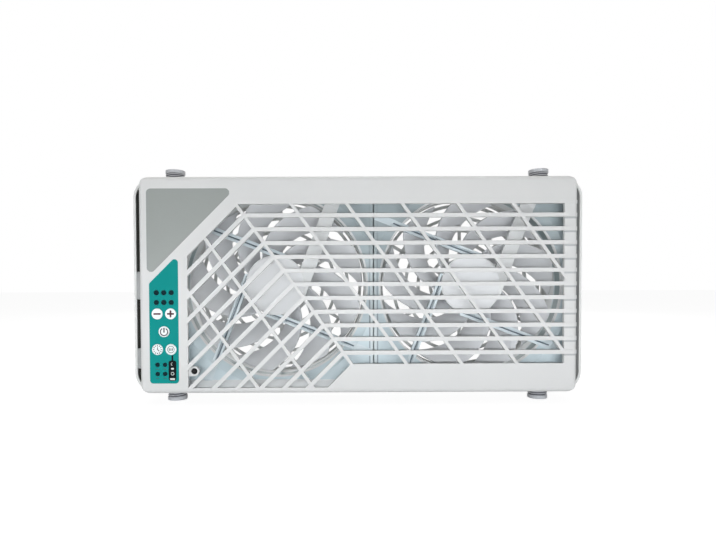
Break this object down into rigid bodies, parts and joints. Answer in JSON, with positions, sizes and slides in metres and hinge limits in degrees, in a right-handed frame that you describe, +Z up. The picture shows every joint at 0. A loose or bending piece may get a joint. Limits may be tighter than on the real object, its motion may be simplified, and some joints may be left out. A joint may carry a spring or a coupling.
{
  "type": "roof vent fan",
  "caption": "Low-voltage roof vent unit: axial fans side by side in one housing, with a slanting grille, a push-key panel and screw-out clamping feet.",
  "frame": {"origin": "middle of the footprint, on the surface that the two lower feet stand on", "axes": "+X to the right as seen from the front, -Y out of the front grille, +Z up towards the upper feet"},
  "size_m": [0.318, 0.046, 0.169],
  "materials": {
    "badge_grey": "satin grey film",
    "black_plastic": "moulded black plastic",
    "blade_grey": "moulded grey plastic",
    "board_green": "solder mask",
    "bright_steel": "ground steel",
    "clip_grey": "moulded grey plastic",
    "copper_wire": "enamelled copper wire",
    "cover_white": "smooth moulded white plastic",
    "foot_grey": "moulded grey plastic",
    "frame_plastic": "moulded pale grey plastic",
    "housing_white": "moulded white plastic",
    "insert_brass": "turned brass",
    "key_white": "moulded white keys",
    "label_grey": "plain paper label",
    "lamp_dark": "dark lamp lenses",
    "lead_black": "sleeved wires",
    "lead_red": "sleeved wires",
    "magnet_dark": "bonded magnet strip",
    "motor_steel": "stamped steel",
    "pin_brass": "plated brass",
    "receiver_black": "polished black dome",
    "screw_steel": "zinc plated",
    "seal_rubber": "soft foam rubber",
    "teal_film": "satin teal film"
  },
  "bodies": {
    "root": {"front_cover": "cover_white", "badge_plate": "badge_grey", "control_overlay": "teal_film", "control_board": "board_green", "tact_switches": "black_plastic", "speed_leds": "lamp_dark", "timer_leds": "lamp_dark", "ir_receiver": "receiver_black", "rear_housing": "housing_white", "guard_left": "housing_white", "guard_right": "housing_white", "seal_left": "seal_rubber", "seal_right": "seal_rubber", "cover_clips": "clip_grey", "cover_screws": "screw_steel", "board_screws": "screw_steel", "fan_screws": "screw_steel", "dc_inlet": "black_plastic", "dc_pin": "pin_brass", "fan_frame_left": "frame_plastic", "bearings_left": "bright_steel", "stator_core_left": "motor_steel", "stator_coils_left": "copper_wire", "motor_board_left": "board_green", "motor_label_left": "label_grey", "fan_frame_right": "frame_plastic", "bearings_right": "bright_steel", "stator_core_right": "motor_steel", "stator_coils_right": "copper_wire", "motor_board_right": "board_green", "motor_label_right": "label_grey", "fan_lead_left": "lead_red", "fan_lead_right": "lead_black", "power_lead": "lead_black", "foot_inserts": "insert_brass"},
    "key_minus": {"key_minus": "key_white"},
    "key_plus": {"key_plus": "key_white"},
    "key_power": {"key_power": "key_white"},
    "key_timer": {"key_timer": "key_white"},
    "key_mode": {"key_mode": "key_white"},
    "rotor_left": {"impeller_left": "blade_grey", "rotor_yoke_left": "motor_steel", "magnet_ring_left": "magnet_dark", "shaft_left": "bright_steel", "retaining_ring_left": "motor_steel"},
    "rotor_right": {"impeller_right": "blade_grey", "rotor_yoke_right": "motor_steel", "magnet_ring_right": "magnet_dark", "shaft_right": "bright_steel", "retaining_ring_right": "motor_steel"},
    "foot_pad_tl": {"foot_pad_tl": "foot_grey"},
    "foot_pad_tr": {"foot_pad_tr": "foot_grey"},
    "foot_pad_bl": {"foot_pad_bl": "foot_grey"},
    "foot_pad_br": {"foot_pad_br": "foot_grey"},
    "foot_stud_tl": {"foot_stud_tl": "foot_grey"},
    "foot_stud_tr": {"foot_stud_tr": "foot_grey"},
    "foot_stud_bl": {"foot_stud_bl": "foot_grey"},
    "foot_stud_br": {"foot_stud_br": "foot_grey"}
  },
  "joints": [
    {"name": "rotor_left_spin", "type": "hinge", "parent": "root", "child": "rotor_left", "pos_m": [-0.0593, 0, 0.0845], "axis": [0, 1, 0], "continuous": true},
    {"name": "rotor_right_spin", "type": "hinge", "parent": "root", "child": "rotor_right", "pos_m": [0.0815, 0, 0.0845], "axis": [0, 1, 0], "continuous": true},
    {"name": "key_minus_press", "type": "slide", "parent": "root", "child": "key_minus", "axis": [0, 1, 0], "range_m": [0, 0.0006], "stiffness_N_per_m": 400},
    {"name": "key_plus_press", "type": "slide", "parent": "root", "child": "key_plus", "axis": [0, 1, 0], "range_m": [0, 0.0006], "stiffness_N_per_m": 400},
    {"name": "key_power_press", "type": "slide", "parent": "root", "child": "key_power", "axis": [0, 1, 0], "range_m": [0, 0.0006], "stiffness_N_per_m": 400},
    {"name": "key_timer_press", "type": "slide", "parent": "root", "child": "key_timer", "axis": [0, 1, 0], "range_m": [0, 0.0006], "stiffness_N_per_m": 400},
    {"name": "key_mode_press", "type": "slide", "parent": "root", "child": "key_mode", "axis": [0, 1, 0], "range_m": [0, 0.0006], "stiffness_N_per_m": 400},
    {"name": "foot_tl_reach", "type": "slide", "parent": "root", "child": "foot_pad_tl", "axis": [0, 0, 1], "range_m": [0, 0.012]},
    {"name": "foot_tl_turn", "type": "hinge", "parent": "foot_pad_tl", "child": "foot_stud_tl", "pos_m": [-0.1343, -0.0007, 0.0845], "axis": [0, 0, 1], "range_deg": [0, 2881]},
    {"name": "foot_tr_reach", "type": "slide", "parent": "root", "child": "foot_pad_tr", "axis": [0, 0, 1], "range_m": [0, 0.012]},
    {"name": "foot_tr_turn", "type": "hinge", "parent": "foot_pad_tr", "child": "foot_stud_tr", "pos_m": [0.1343, -0.0007, 0.0845], "axis": [0, 0, 1], "range_deg": [0, 2881]},
    {"name": "foot_bl_reach", "type": "slide", "parent": "root", "child": "foot_pad_bl", "axis": [0, 0, -1], "range_m": [0, 0.012]},
    {"name": "foot_bl_turn", "type": "hinge", "parent": "foot_pad_bl", "child": "foot_stud_bl", "pos_m": [-0.1343, -0.0007, 0.0845], "axis": [0, 0, -1], "range_deg": [0, 2881]},
    {"name": "foot_br_reach", "type": "slide", "parent": "root", "child": "foot_pad_br", "axis": [0, 0, -1], "range_m": [0, 0.012]},
    {"name": "foot_br_turn", "type": "hinge", "parent": "foot_pad_br", "child": "foot_stud_br", "pos_m": [0.1343, -0.0007, 0.0845], "axis": [0, 0, -1], "range_deg": [0, 2881]}
  ],
  "couplings": [
    {"joint": "foot_tl_turn", "follows": "foot_tl_reach", "rad_per_m": 4188.8},
    {"joint": "foot_tr_turn", "follows": "foot_tr_reach", "rad_per_m": 4188.8},
    {"joint": "foot_bl_turn", "follows": "foot_bl_reach", "rad_per_m": 4188.8},
    {"joint": "foot_br_turn", "follows": "foot_br_reach", "rad_per_m": 4188.8}
  ]
}
